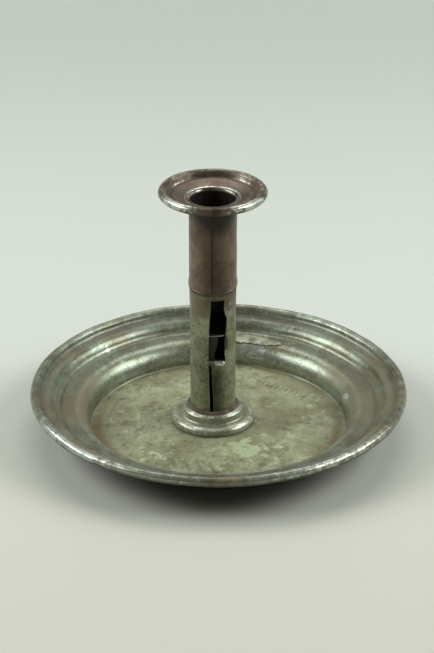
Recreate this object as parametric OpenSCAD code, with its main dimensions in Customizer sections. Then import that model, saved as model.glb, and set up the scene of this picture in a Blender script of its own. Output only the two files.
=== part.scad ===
// Saucer candlestick of tinned sheet iron with a push-up ejector.
// Z is up, the pan stands on z = 0, the front (slot side) looks towards -Y.

/* [Pan] */
// sheet thickness of the pan
pan_sheet = 0.5; // [0.3:0.05:1]
// outer radius over the rolled rim
pan_outer_r = 94; // [80:1:110]
// radius of the rolled rim's own section
pan_roll_r = 2.44; // [1.5:0.02:3.5]
// height of the rolled rim's centre above the brim
pan_roll_rise = 1.7; // [0.5:0.1:4]
// radius of the sweep from the brim up to the rolled rim
rim_sweep = 2.5; // [1.7:0.1:5]
// width of the brim's level part
brim_flat_w = 0.1; // [0.1:0.1:4]
// radius of the upper rounded moulding, inside the brim
upper_round = 6.2; // [4:0.1:9]
// radius of the cove at the foot of the upper moulding
upper_cove = 3.5; // [1:0.1:5]
// slope at which the cove passes into the upper moulding, in degrees
upper_slope = 67.6; // [40:0.1:80]
// width of the tread's flat, between the two mouldings
tread_w = 3.7; // [1.5:0.1:6]
// radius of the lower rounded moulding, between the floor and the tread
lower_round = 9.6; // [4:0.1:12]
// straight part of the lower moulding's wall
lower_wall = 1.2; // [0.2:0.1:4]
// width of the flat ring that the pan stands on
foot_ring_w = 8.3; // [4:0.1:20]
// rise of the floor at the centre
crown_h = 2.6; // [0:0.1:5]
// width of the level part of the raised floor outside the stem's collar
crown_flat_w = 4.15; // [3:0.05:10]

/* [Stem] */
// stem axis, sideways from the pan's centre
stem_x = -2.7; // [-6:0.1:6]
// stem axis, backwards from the pan's centre
stem_y = 1.5; // [-6:0.1:6]
// sheet thickness of both tubes
tube_sheet = 0.42; // [0.3:0.02:0.8]
// candle socket radius, inside the upper tube
socket_r = 11.28; // [9:0.01:14]
// step from the socket's inside to the lower tube's outside, over most of its height
shank_step = 0; // [-0.5:0.01:0.2]
// step from the socket's inside to the outside of the lower tube's spread top end
spread_step = 0.25; // [0.1:0.01:0.4]
// height over which the lower tube spreads
spread_h = 26; // [5:1:30]
// height of the lower edge of the bell joint
bell_z = 78; // [70:0.1:90]
// length of the bell
bell_h = 2.7; // [1:0.1:8]
// height of the straight bore's upper end
mouth_z = 123; // [100:0.1:140]
// how far the flared mouth stands out past the tube's outside
flare_out = 0.95; // [0.6:0.05:2]
// rise of the flared mouth
flare_h = 1.4; // [0.5:0.1:3]

/* [Slot] */
// height of the slot's lower end
slot_z0 = 38.9; // [30:0.1:50]
// height of the slot's upper end
slot_z1 = 73.9; // [60:0.1:80]
// right edge of the slot, from the stem's axis
slot_right = 5.8; // [4.5:0.1:8]
// left edge at the upper end
slot_left_top = -1.2; // [-3:0.05:0]
// left edge at the lower end, where the open seam starts
slot_left_foot = -2.3; // [-4:0.05:0]
// width of the open seam under the slot
seam_gap = 1.3; // [0.1:0.05:2]
// width of the open seam at the foot
seam_gap_foot = 2.05; // [0.1:0.05:3]
// how far the open seam runs to the right on its way down
seam_lean = 0.85; // [0:0.05:2]

/* [Drip flange] */
// outer radius over the rolled edge
flange_r = 26.5; // [20:0.1:35]
// radius of the rolled edge's own section
flange_roll_r = 2.1; // [1:0.05:3]
// height of the rolled edge's centre above the end of the straight bore
flange_rise = 4; // [3:0.1:8]
// slope of the flange's inner side up to the rolled edge, in degrees
flange_slope = 65; // [45:1:80]
// radius of the groove at the foot of that slope
groove_r = 1.2; // [0.6:0.1:2]
// sheet thickness
flange_sheet = 0.45; // [0.3:0.05:0.8]

/* [Collar] */
// reach of the foot collar from the tube's outside
collar_out = 9.57; // [8:0.01:16]
// height of the collar's top edge above the pan's raised floor
collar_h = 8.85; // [8:0.05:14]
// sheet thickness
collar_sheet = 0.45; // [0.3:0.05:0.8]

/* [Ejector] */
// gap between the disc's edge and the lower tube's inside
disc_gap = 0.26; // [0.1:0.02:1]
// thickness of the disc
disc_t = 0.5; // [0.3:0.05:1]
// height of the disc's top above the tab's top face
disc_rise = 14.72; // [12:0.02:25]
// thickness of the strip and tab
strip_t = 0.5; // [0.3:0.05:1]
// gap between the strip and the tube
strip_gap = 0.15; // [0.05:0.05:0.5]
// width of the tab's lip outside the slot
tab_w = 8.2; // [5:0.1:12]
// radius of the lip's curl
tab_curl_r = 1.4; // [0.8:0.1:2.5]
// gap between the tab's lip and the tube's spread end, at the top of the travel
tab_gap = 0.2; // [0.1:0.05:1]
// reach of the tab's lip in front of that gap
tab_reach = 2.25; // [1.5:0.05:6]
// play between the tab and the slot's lower end
tab_play = 0.08; // [0.05:0.01:0.5]

/* [Patch] */
// sheet thickness of the repair patch
patch_sheet = 0.4; // [0.3:0.05:1]
// how far the patch reaches over the tread, from the lower moulding's top
patch_reach = 2.35; // [1:0.05:3]

/* [Hidden] */
$fn = 96;
wire_gap = 0.06;
roll_in = pan_roll_r - pan_sheet;
roll_cx = pan_outer_r - pan_roll_r;
fillet_low = 0.9;
step_h = lower_round + lower_wall + fillet_low;
sweep_dz = rim_sweep - pan_roll_rise;
sweep_dx = sqrt(pow(rim_sweep + pan_roll_r, 2) - pow(sweep_dz, 2));
sweep_a = atan2(sweep_dz, sweep_dx);
roll_clear_deg = 10;
// the roll ends this side of the place where it would meet the sweep's underside
roll_touch = acos((pow(rim_sweep + pan_roll_r, 2) + pow(pan_roll_r, 2) - pow(rim_sweep + pan_sheet, 2))
    / (2 * (rim_sweep + pan_roll_r) * pan_roll_r));
roll_end = roll_touch - 180 - sweep_a + roll_clear_deg;
upper_run = (upper_round + upper_cove) * sin(upper_slope);
brim_r = roll_cx - sweep_dx - brim_flat_w;
step_r = brim_r - upper_run;
floor_r = step_r - tread_w - lower_round;
crown_foot_r = floor_r - foot_ring_w;
brim_z = pan_sheet + step_h + (upper_round + upper_cove) * (1 - cos(upper_slope));
pan_roll_z = brim_z + pan_roll_rise;
shank_r = socket_r + shank_step;
spread_r = socket_r + spread_step;
spread_z = bell_z - 2 - spread_h;
upper_r = socket_r + tube_sheet;
bell_in = spread_r + 0.05;
flare_r = upper_r + flare_out;
crown_z = crown_h + pan_sheet;
foot_z = crown_z + 0.02;
flange_roll_z = mouth_z + flange_rise;
flange_cx = flange_r - flange_roll_r;
flange_in = flange_roll_r - flange_sheet;
collar_r = shank_r + collar_out;
collar_top = foot_z + collar_h;
crown_flat_r = collar_r + crown_flat_w;
lap_deg = 4.6;
disc_r = shank_r - tube_sheet - disc_gap;
strip_r = shank_r - tube_sheet - strip_gap;
tab_top = slot_z0 + tab_play + strip_t;
disc_z = tab_top + disc_rise;
lip_u = spread_r + tab_gap;

// points of an arc, angles in degrees
function arc(cx, cz, r, a0, a1, n) =
    [for (i = [0:n]) let (a = a0 + (a1 - a0) * i / n) [cx + r * cos(a), cz + r * sin(a)]];
// unit left normal of the segment from a to b
function seg_n(a, b) = let (d = b - a, l = norm(d)) [-d[1] / l, d[0] / l];
// offset vector at point i, mitred between its two segments
function miter(p, i) = let (
    n0 = seg_n(p[max(i - 1, 0)], p[max(i, 1)]),
    n1 = seg_n(p[min(i, len(p) - 2)], p[min(i + 1, len(p) - 1)]),
    m = n0 + n1) m * 2 / (m * m);
// the path moved by t to its left
function shift(p, t) = [for (i = [0:len(p) - 1]) p[i] + t * miter(p, i)];
// closed outline of a sheet of thickness t under a path of points
function sheet(p, t) = let (q = shift(p, -t)) concat(p, [for (i = [len(p) - 1:-1:0]) q[i]]);

// stem parts are drawn about their own axis and placed here
module on_stem() { translate([stem_x, stem_y, 0]) children(); }

// upper face of the pan from the centre to the end of the rolled rim
function pan_path() = concat(
    [[0, crown_z]],
    [for (i = [0:8]) let (u = i / 8)
        [crown_flat_r + (crown_foot_r - crown_flat_r) * u,
         pan_sheet + crown_h * (1 + cos(180 * u)) / 2]],
    arc(floor_r - fillet_low, pan_sheet + fillet_low, fillet_low, -90, 0, 4),
    step_path(),
    arc(step_r, pan_sheet + step_h + upper_cove, upper_cove, -90, upper_slope - 90, 6),
    arc(brim_r, brim_z - upper_round, upper_round, 84 + upper_slope, 90, 8),
    arc(roll_cx - sweep_dx, brim_z + rim_sweep, rim_sweep, -90, -sweep_a, 8),
    arc(roll_cx, pan_roll_z, pan_roll_r, 174 - sweep_a, roll_end, 26));
// the step's rounded wall and tread
function step_path() =
    arc(floor_r + lower_round, pan_sheet + step_h - lower_round, lower_round, 180, 90, 8);

module pan() {
    color([0.60, 0.58, 0.50])
    rotate_extrude() polygon(sheet(pan_path(), pan_sheet));
}

module pan_rim_wire() {
    color([0.35, 0.33, 0.30])
    rotate_extrude() translate([roll_cx, pan_roll_z]) circle(r = roll_in - wire_gap, $fn = 48);
}

// upper face of the collar, from the top edge at the tube down and out to the foot
function collar_path() = let (
    a = shank_r, b = collar_r - 2.45, g = a + 5.72 + (collar_out - 9.57) / 2) concat(
    [[a + 0.07, collar_top - 0.02], [a + 1.02, collar_top - 0.22], [a + 2.02, collar_top - 0.67]],
    arc(a + 2.32, collar_top - 2.52, 1.75, 75, 5, 5),
    [[g - 1.55, collar_top - 3.37]],
    arc(g, collar_top - 3.42, 1.5, 190, 262, 4),
    [[b - 0.8, collar_top - 4.95]],
    arc(b, collar_top - 7.37, 2.45, 78, 0, 6),
    [[collar_r - 0.1, foot_z + 0.12]]);

module stem_foot_collar() {
    color([0.62, 0.61, 0.56])
    on_stem() rotate_extrude() polygon(sheet(collar_path(), collar_sheet));
}

// outer face of the lower tube, from the turned-out foot to the spread top end
module stem_lower_tube() {
    z_top = bell_z + bell_h;
    color([0.47, 0.47, 0.40])
    on_stem() difference() {
        rotate_extrude() polygon([
            [shank_r - tube_sheet, foot_z], [shank_r + 2.9, foot_z], [shank_r + 2.9, foot_z + tube_sheet],
            [shank_r + 0.25, foot_z + tube_sheet], [shank_r, foot_z + tube_sheet + 0.35],
            [shank_r, spread_z], [spread_r, bell_z - 2], [spread_r, z_top],
            [spread_r - tube_sheet, z_top], [spread_r - tube_sheet, bell_z - 2],
            [shank_r - tube_sheet, spread_z]]);
        slot_cut();
    }
}
// slot with the open seam below it, cut through the front wall only
module slot_cut() {
    rotate([90, 0, 0]) linear_extrude(height = 2 * shank_r) polygon([
        [slot_left_top + 0.3, slot_z1], [slot_right - 0.4, slot_z1], [slot_right, slot_z1 - 0.5],
        [slot_right, slot_z0 + 0.5], [slot_right - 0.5, slot_z0],
        [slot_left_foot + seam_gap, slot_z0],
        [slot_left_foot + seam_lean + seam_gap_foot, foot_z - 1],
        [slot_left_foot + seam_lean, foot_z - 1], [slot_left_foot, slot_z0],
        [slot_left_top, slot_z1 - 0.4]]);
}

// candle socket: belled lower end, straight bore, flared mouth, lapped seam in front
module stem_upper_tube() {
    zb = bell_z + bell_h;
    color([0.30, 0.26, 0.22])
    on_stem() {
        rotate_extrude() polygon([
            [bell_in, bell_z], [bell_in + tube_sheet + 0.1, bell_z],
            [bell_in + tube_sheet + 0.1, bell_z + 1.6],
            [bell_in + tube_sheet, zb], [upper_r, zb + 1.3], [upper_r, mouth_z],
            [upper_r + 0.35, mouth_z + 0.55], [flare_r, mouth_z + flare_h - 0.2],
            [flare_r - 0.1, mouth_z + flare_h], [flare_r - 0.35, mouth_z + flare_h],
            [socket_r + 0.3, mouth_z + 0.75], [socket_r, mouth_z],
            [socket_r, zb + 1.15], [bell_in, zb - 0.05]]);
        seam_lap(zb + 1.5, mouth_z - 1.9);
    }
}
// lap of the seam: grows from nothing at the left to one sheet's step at the seam line
module seam_lap(z0, z1) {
    translate([0, 0, z0]) linear_extrude(height = z1 - z0) polygon(concat(
        [for (i = [0:10]) let (a = 270 - lap_deg - 40 * (1 - i / 10), g = tube_sheet * pow(i / 10, 2))
            (upper_r - 0.02 + g) * [cos(a), sin(a)]],
        [for (i = [10:-1:0]) let (a = 270 - lap_deg - 40 * (1 - i / 10))
            (upper_r - 0.2) * [cos(a), sin(a)]]));
}

// upper face of the drip flange: hole, slope, ridge, groove, and the sweep over the rolled edge
function flange_path() = let (
    e = flare_h - 1.4, gz = mouth_z + e + 2.6,
    tx = flange_cx - flange_roll_r * sin(flange_slope),
    tz = flange_roll_z + flange_roll_r * cos(flange_slope),
    gx = tx - (groove_r - (gz + groove_r - tz) * cos(flange_slope)) / sin(flange_slope),
    w = gx - flare_r) concat(
    [[upper_r + 0.12, mouth_z - 0.1], [upper_r + 0.45, mouth_z + 0.38],
     [flare_r + 0.1, mouth_z + flare_h - 0.32], [flare_r + 0.19 * w, mouth_z + e + 1.42],
     [flare_r + 0.44 * w, mouth_z + e + 2.0], [flare_r + 0.62 * w, mouth_z + e + 2.55]],
    arc(flare_r + 0.81 * w, mouth_z + e + 1.65, 1.45, 115, 68, 3),
    arc(gx, gz + groove_r, groove_r, -95, flange_slope - 90, 5),
    arc(flange_cx, flange_roll_z, flange_roll_r, 90 + flange_slope, -160, 24));

module drip_flange() {
    color([0.42, 0.34, 0.29])
    on_stem() rotate_extrude() polygon(sheet(flange_path(), flange_sheet));
}

module drip_flange_wire() {
    color([0.35, 0.33, 0.30])
    on_stem() rotate_extrude() translate([flange_cx, flange_roll_z])
        circle(r = flange_in - wire_gap, $fn = 48);
}

// fillet of solder between the tube and the collar's top edge
module foot_solder() {
    color([0.42, 0.30, 0.24])
    on_stem() rotate_extrude() polygon([for (v = [[0.02, 0.03], [1.62, -0.35], [1.32, -0.02],
        [0.72, 0.28], [0.02, 0.73]]) [shank_r + v[0], collar_top + v[1]]]);
}

// fillet of solder under the bell's edge
module joint_solder() {
    color([0.45, 0.47, 0.38])
    on_stem() rotate_extrude() polygon([[spread_r + 0.02, bell_z - 1.9], [spread_r + 0.25, bell_z - 1.1],
        [bell_in + tube_sheet - 0.05, bell_z - 0.05], [spread_r + 0.02, bell_z - 0.05]]);
}

// fillet of solder between the tube and the underside of the drip flange
module flange_solder() {
    color([0.45, 0.45, 0.38])
    on_stem() rotate_extrude() polygon([[upper_r + 0.02, mouth_z - 1.6],
        [upper_r + 0.5, mouth_z - 1.1], [upper_r + 0.8, mouth_z - 0.42], [upper_r + 0.36, mouth_z - 0.52],
        [upper_r + 0.02, mouth_z - 0.5]]);
}

// ragged patch that lies over the step's tread and rounded wall, its edge drawn in plan
module repair_patch() {
    lift = 0.02;
    color([0.55, 0.52, 0.45])
    intersection() {
        rotate_extrude() polygon(sheet(shift(concat(step_path(), [[step_r - 0.2, pan_sheet + step_h]]),
            lift + patch_sheet), patch_sheet));
        linear_extrude(height = 2 * step_h) polygon([for (v = [
            [-10.61, 0.023], [-4.53, 0.029], [2.26, 0.027], [7.41, 0.02], [11.38, 0.023], [15.04, 0.056],
            [20.53, 0.206], [25.24, 0.291], [27.67, 0.333], [25.1, 0.604], [22.44, 0.69], [20.38, 0.762],
            [18.25, 0.73], [13.43, 0.723], [8.08, 0.753], [3.3, 0.711], [-4.14, 0.74], [-9.82, 0.612]])
            (floor_r + lower_round + patch_reach - v[1] * lower_round) * [sin(v[0]), cos(v[0])]]);
    }
}

module ejector_disc() {
    color([0.45, 0.44, 0.40])
    on_stem() translate([0, 0, disc_z - disc_t]) cylinder(r = disc_r, h = disc_t);
}

// strip against the tube's inside wall, with a foot soldered under the disc
module ejector_strip() {
    top = disc_z - disc_t;
    left = slot_left_top + 0.6;
    right = slot_right - 0.7;
    color([0.33, 0.36, 0.30])
    on_stem() {
        intersection() {
            translate([0, 0, tab_top]) difference() {
                cylinder(r = strip_r, h = top - tab_top);
                translate([0, 0, -1]) cylinder(r = strip_r - strip_t, h = top);
            }
            rotate([90, 0, 0]) linear_extrude(height = 2 * strip_r) polygon([
                [-4.6, top + 1], [2.5, top + 1], [2.5, top - 1], [1.7, top - 6.5], [0.6, top - 8.4],
                [0.35, tab_top + 1.9], [right, tab_top + 1.3], [right, tab_top - 1], [left, tab_top - 1],
                [left, tab_top + 1.1], [-4.0, tab_top + 3.6]]);
        }
        intersection() {
            translate([0, 0, top - strip_t]) difference() {
                cylinder(r = strip_r - strip_t + 0.01, h = strip_t);
                translate([0, 0, -1]) cylinder(r = strip_r - 4.2, h = 3);
            }
            rotate([90, 0, 0]) linear_extrude(height = 2 * strip_r)
                translate([-4, top - 3]) square([6, 4]);
        }
    }
}

// tongue through the slot with a wider lip curled up in front of the tube
module thumb_tab() {
    u_front = lip_u + tab_reach - tab_curl_r;
    color([0.66, 0.66, 0.62])
    on_stem() {
        difference() {
            translate([slot_left_top + 0.35, -lip_u - 0.3, tab_top - strip_t])
                cube([slot_right - slot_left_top - 0.8, lip_u + 0.3 - strip_r / 2, strip_t]);
            translate([0, 0, tab_top - 3]) cylinder(r = strip_r - 1.4, h = 6);
        }
        translate([1.5 - tab_w / 2, 0, 0]) rotate([90, 0, -90]) mirror([0, 0, 1])
            linear_extrude(height = tab_w) polygon(sheet(concat(
                [[lip_u, tab_top]],
                arc(u_front, tab_top - strip_t + tab_curl_r, tab_curl_r - strip_t, -90, 115, 10)),
                strip_t));
    }
}

pan();
pan_rim_wire();
stem_foot_collar();
stem_lower_tube();
stem_upper_tube();
drip_flange();
drip_flange_wire();
foot_solder();
joint_solder();
flange_solder();
repair_patch();
ejector_disc();
ejector_strip();
thumb_tab();
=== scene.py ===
"""Saucer candlestick of old tinned sheet iron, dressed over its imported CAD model.

Shapes are worked out in millimetres as whole numpy arrays and written to meshes in metres.
Angles round the pan and the stem are degrees from +X, turning towards +Y; the front is -90.
"""

import math

import bpy
import numpy as np
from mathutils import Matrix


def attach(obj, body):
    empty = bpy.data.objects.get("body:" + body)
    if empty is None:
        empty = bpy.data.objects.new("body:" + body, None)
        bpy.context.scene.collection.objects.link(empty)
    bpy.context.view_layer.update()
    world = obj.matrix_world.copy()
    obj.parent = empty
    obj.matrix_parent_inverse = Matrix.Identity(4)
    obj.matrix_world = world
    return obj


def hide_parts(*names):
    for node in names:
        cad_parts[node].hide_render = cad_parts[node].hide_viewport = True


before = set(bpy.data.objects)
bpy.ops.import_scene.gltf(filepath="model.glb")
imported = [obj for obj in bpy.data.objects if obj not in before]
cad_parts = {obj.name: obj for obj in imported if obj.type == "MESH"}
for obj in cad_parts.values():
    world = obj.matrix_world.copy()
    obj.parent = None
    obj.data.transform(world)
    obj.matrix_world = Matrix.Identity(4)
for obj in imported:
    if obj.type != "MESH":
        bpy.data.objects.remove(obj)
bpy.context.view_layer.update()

MM = 0.001
STEM = (-2.7, 1.5)
SHEET_PAN, SHEET_TUBE, SHEET_FLANGE, SHEET_COLLAR = 0.5, 0.42, 0.45, 0.45
RIM_R, RIM_ROLL, RIM_Z, RIM_SWEEP = 94.0, 2.44, 19.9, 2.5
FLOOR_R, STEP_R, STEP_H = 64.3, 77.6, 11.7
LOWER_ROUND, UPPER_ROUND, UPPER_COVE, UPPER_SLOPE, BRIM_Z = 9.6, 6.2, 3.5, 67.6, 18.2
PATCH_R = 76.25
CROWN_H, CROWN_FLAT, CROWN_FOOT = 2.6, 25.0, 56.0
SHANK_R, SPREAD_R, SPREAD_Z = 11.28, 11.53, 50.0
SOCKET_R, UPPER_R, BELL_Z, BELL_H = 11.28, 11.70, 78.0, 2.7
MOUTH_Z, FLARE_R, FLARE_H = 123.0, 12.65, 1.4
FLANGE_R, FLANGE_ROLL, FLANGE_Z = 26.5, 2.1, 127.0
FLANGE_SLOPE, FLANGE_GROOVE = 65.0, 1.2
FOOT_Z = CROWN_H + SHEET_PAN + 0.02
LAP = -4.6


# Profiles
def arc(cx, cz, r, a0, a1, n):
    """n + 1 points of the circle of radius r about (cx, cz), from a0 to a1 degrees."""
    a = np.radians(np.linspace(a0, a1, n + 1))
    return np.column_stack([cx + r * np.cos(a), cz + r * np.sin(a)])


def walk(path, step):
    """The path's points taken at equal steps of about step along its length."""
    path = np.asarray(path, float)
    run = np.r_[0, np.cumsum(np.linalg.norm(np.diff(path, axis=0), axis=1))]
    s = np.linspace(0, run[-1], max(2, int(round(run[-1] / step))) + 1)
    return np.column_stack([np.interp(s, run, path[:, k]) for k in (0, 1)])


def chain(*runs):
    """The runs one after another, with points that all but repeat left out."""
    p = np.vstack(runs)
    keep = np.r_[True, np.linalg.norm(np.diff(p, axis=0), axis=1) > 0.02]
    return p[keep]


def left_of(p):
    """Unit normal to the left of the path at each point, from its neighbours' direction."""
    d = np.gradient(p, axis=0)
    d /= np.linalg.norm(d, axis=1)[:, None]
    return np.column_stack([-d[:, 1], d[:, 0]])


def sheet_outline(path, t, round_start=True):
    """Closed outline of a sheet under the path: the path, a round end of diameter t, the path
    moved t to its right and run back, and a round start unless it starts on the axis."""
    n = left_of(path)
    under = path - t * n

    def end(i, out):
        mid = (path[i] + under[i]) / 2
        return np.array([mid + t / 2 * (0.7 * n[i] * s + 0.7 * out) for s in (1, 0, -1)])

    d1 = np.array([n[-1][1], -n[-1][0]])
    d0 = -np.array([n[0][1], -n[0][0]])
    parts = [path, end(-1, d1), under[::-1]]
    if round_start:
        parts.append(end(0, d0)[::-1])
    return np.vstack(parts)


def pan_path():
    """Upper face of the pan from its centre to the end of the rolled rim."""
    u = np.linspace(0, 1, 17)
    roll = RIM_R - RIM_ROLL
    out = math.sqrt((RIM_SWEEP + RIM_ROLL)**2 - (RIM_SWEEP + BRIM_Z - RIM_Z)**2)
    lean = math.degrees(math.atan2(RIM_SWEEP + BRIM_Z - RIM_Z, out))
    brim = STEP_R + (UPPER_ROUND + UPPER_COVE) * math.sin(math.radians(UPPER_SLOPE))
    return chain(
        walk([[0, SHEET_PAN + CROWN_H], [CROWN_FLAT, SHEET_PAN + CROWN_H]], 2.5),
        np.column_stack([CROWN_FLAT + (CROWN_FOOT - CROWN_FLAT) * u,
                         SHEET_PAN + CROWN_H * (1 + np.cos(np.pi * u)) / 2]),
        walk([[CROWN_FOOT, SHEET_PAN], [FLOOR_R - 0.9, SHEET_PAN]], 1.8),
        arc(FLOOR_R - 0.9, SHEET_PAN + 0.9, 0.9, -90, 0, 5),
        arc(FLOOR_R + LOWER_ROUND, SHEET_PAN + STEP_H - LOWER_ROUND, LOWER_ROUND, 180, 90, 20),
        arc(STEP_R, SHEET_PAN + STEP_H + UPPER_COVE, UPPER_COVE, -90, UPPER_SLOPE - 90, 9),
        arc(brim, BRIM_Z - UPPER_ROUND, UPPER_ROUND, 90 + UPPER_SLOPE, 90, 16),
        arc(roll - out, BRIM_Z + RIM_SWEEP, RIM_SWEEP, -90, -lean, 10),
        arc(roll, RIM_Z, RIM_ROLL, 177 - lean, -152, 44))


def flange_path():
    """Upper face of the drip flange: hole, slope, ridge, groove, and the sweep over its wire."""
    cx, slope = FLANGE_R - FLANGE_ROLL, math.radians(FLANGE_SLOPE)
    gz = MOUTH_Z + 2.6
    top = FLANGE_Z + FLANGE_ROLL * math.cos(slope)
    gx = (cx - FLANGE_ROLL * math.sin(slope)
          - (FLANGE_GROOVE - (gz + FLANGE_GROOVE - top) * math.cos(slope)) / math.sin(slope))
    w = gx - FLARE_R
    return chain(
        walk([[UPPER_R + 0.12, MOUTH_Z - 0.1], [UPPER_R + 0.45, MOUTH_Z + 0.38],
              [FLARE_R + 0.1, MOUTH_Z + FLARE_H - 0.32], [FLARE_R + 0.19 * w, MOUTH_Z + 1.42],
              [FLARE_R + 0.44 * w, MOUTH_Z + 2.0], [FLARE_R + 0.62 * w, MOUTH_Z + 2.55]], 0.45),
        arc(FLARE_R + 0.81 * w, MOUTH_Z + 1.65, 1.45, 115, 68, 7),
        arc(gx, gz + FLANGE_GROOVE, FLANGE_GROOVE, -95, FLANGE_SLOPE - 90, 12),
        arc(cx, FLANGE_Z, FLANGE_ROLL, 90 + FLANGE_SLOPE, -160, 40))


def collar_path():
    """Upper face of the foot collar: neck, small bead, groove and large bead."""
    a, top, edge = SHANK_R, FOOT_Z + 8.85, SHANK_R + 9.57
    b, g = edge - 2.45, SHANK_R + 5.72
    return chain(
        walk([[a + 0.07, top - 0.02], [a + 1.02, top - 0.22], [a + 2.02, top - 0.67]], 0.5),
        arc(a + 2.32, top - 2.52, 1.75, 75, 5, 9),
        arc(g, top - 3.42, 1.5, 190, 262, 8),
        arc(b, top - 7.37, 2.45, 78, 0, 14),
        [[edge - 0.06, FOOT_Z + 0.6], [edge - 0.1, FOOT_Z + 0.12]])


# Unevenness
def lumps(x, y, size, seed, waves=9):
    """Smooth bumps between about -1 and 1: a sum of plane waves in seeded directions, each with
    a length near size."""
    rng = np.random.default_rng(seed)
    total = np.zeros(np.broadcast(x, y).shape)
    for turn, phase, stretch in rng.random((waves, 3)):
        k = 2 * np.pi / (size * (0.7 + 0.8 * stretch))
        total = total + np.cos(k * (x * np.cos(2 * np.pi * turn) + y * np.sin(2 * np.pi * turn))
                               + 2 * np.pi * phase)
    return total / math.sqrt(waves) * 0.8


def ease(v, lo, hi):
    """Smooth step: 0 below lo, 1 above hi, 3t^2 - 2t^3 between."""
    t = np.clip((np.asarray(v, float) - lo) / (hi - lo), 0, 1)
    return t * t * (3 - 2 * t)


def hump(v, mid, half):
    """Smooth hump: 1 at mid, 0 from half away on."""
    return 1 - ease(np.abs(np.asarray(v, float) - mid), 0, half)


def round_hump(az, mid, half):
    """A hump in azimuth that wraps round at 180 degrees."""
    return hump((np.asarray(az) - mid + 180) % 360 - 180, 0, half)


def bend_pan(p):
    """The pan as beaten by use: the raised floor, mouldings and brim wave a few tenths of a
    millimetre; the ring that it stands on and the part under the stem stay where they are."""
    x, y, z = p.T
    r, az = np.hypot(x, y), np.degrees(np.arctan2(y, x))
    floor = ease(r, 26, 34) * (1 - ease(r, 48, 55))
    wall = ease(r, 64.5, 74)
    dz = (0.16 * floor * lumps(x, y, 24, 3)
          + 0.16 * wall * lumps(x, y, 60, 5) + 0.09 * wall * lumps(x, y, 17, 6))
    dr = 0.14 * wall * lumps(x, y, 30, 8) - 0.1 * wall
    dz = dz - 0.1 * wall
    nick = 0.5 * round_hump(az, -128, 3.5) + 0.35 * round_hump(az, 150, 4) + 0.3 * round_hump(az, -57, 5)
    dr = dr - nick * ease(r, 88, 93)
    return p + np.column_stack([dr * x / np.maximum(r, 1), dr * y / np.maximum(r, 1), dz])


def lean_flange(p):
    """The flange and the socket's mouth stand up a degree at the front."""
    q = p.copy()
    q[:, 2] += -0.016 * (p[:, 1] - STEM[1]) * ease(p[:, 2], 112, 124)
    return q


def bend_flange(p):
    """The flange with a soft wave in its edge, then leant."""
    x, y = p[:, 0] - STEM[0], p[:, 1] - STEM[1]
    out = ease(np.hypot(x, y), 14, 25)
    q = p.copy()
    q[:, 2] += out * (0.1 * lumps(x, y, 22, 12) - 0.06)
    return lean_flange(q)


# Meshes
def write_mesh(name, body, verts, faces, *nodes):
    """A mesh object with the given points in millimetres and faces, riding on a body and
    standing for the named CAD nodes."""
    mesh = bpy.data.meshes.new(name)
    mesh.from_pydata((np.asarray(verts) * MM).tolist(), [], [f for f in faces])
    mesh.polygons.foreach_set("use_smooth", [True] * len(mesh.polygons))
    mesh.update()
    obj = bpy.data.objects.new(name, mesh)
    bpy.context.scene.collection.objects.link(obj)
    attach(obj, body)
    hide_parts(*nodes)
    return obj


def mark(obj, name, values):
    """A number on every point of the piece, for its material to read."""
    layer = obj.data.attributes.new(name, "FLOAT", "POINT")
    layer.data.foreach_set("value", np.clip(values, 0, 1).astype(np.float32))


def quads(nu, nv, wrap_u, wrap_v, start=0):
    """Faces of a grid of nu by nv points, closed in either direction if asked."""
    i = np.arange(nu if wrap_u else nu - 1)[:, None]
    j = np.arange(nv if wrap_v else nv - 1)[None, :]
    a = i * nv + j
    b = i * nv + (j + 1) % nv
    c = (i + 1) % nu * nv + (j + 1) % nv
    d = (i + 1) % nu * nv + j
    return (start + np.stack([a, b, c, d], -1)).reshape(-1, 4).tolist()


def revolve(outline, turns, centre=(0, 0)):
    """Surface of revolution of a closed outline that runs outwards on top and back below: point
    (i, j) is outline point j turned by i / turns of a circle. Ends on the axis become poles."""
    outline = np.asarray(outline, float)
    a = 2 * np.pi * np.arange(turns) / turns
    poles = outline[0, 0] < 1e-6
    body = outline[1:-1] if poles else outline
    r, z = body.T
    grid = np.stack([centre[0] + np.cos(a)[:, None] * r, centre[1] + np.sin(a)[:, None] * r,
                     np.broadcast_to(z, (turns, len(z)))], -1)
    verts = grid.reshape(-1, 3)
    faces = quads(turns, len(r), True, not poles)
    if poles:
        top, low, n = len(verts), len(verts) + 1, len(r)
        verts = np.vstack([verts, [[*centre, outline[0, 1]], [*centre, outline[-1, 1]]]])
        for i in range(turns):
            k = (i + 1) % turns
            faces.append([top, i * n, k * n])
            faces.append([low, k * n + n - 1, i * n + n - 1])
    return verts, faces


def under_side(verts, path, turns):
    """True for the points of a revolved sheet that lie past the end of its upper path."""
    poles = path[0, 0] < 1e-6
    rows = len(verts) // turns
    row = np.arange(turns * rows) % rows + (1 if poles else 0)
    return np.r_[row > len(path), [False, True]] if poles else row > len(path)


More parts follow.
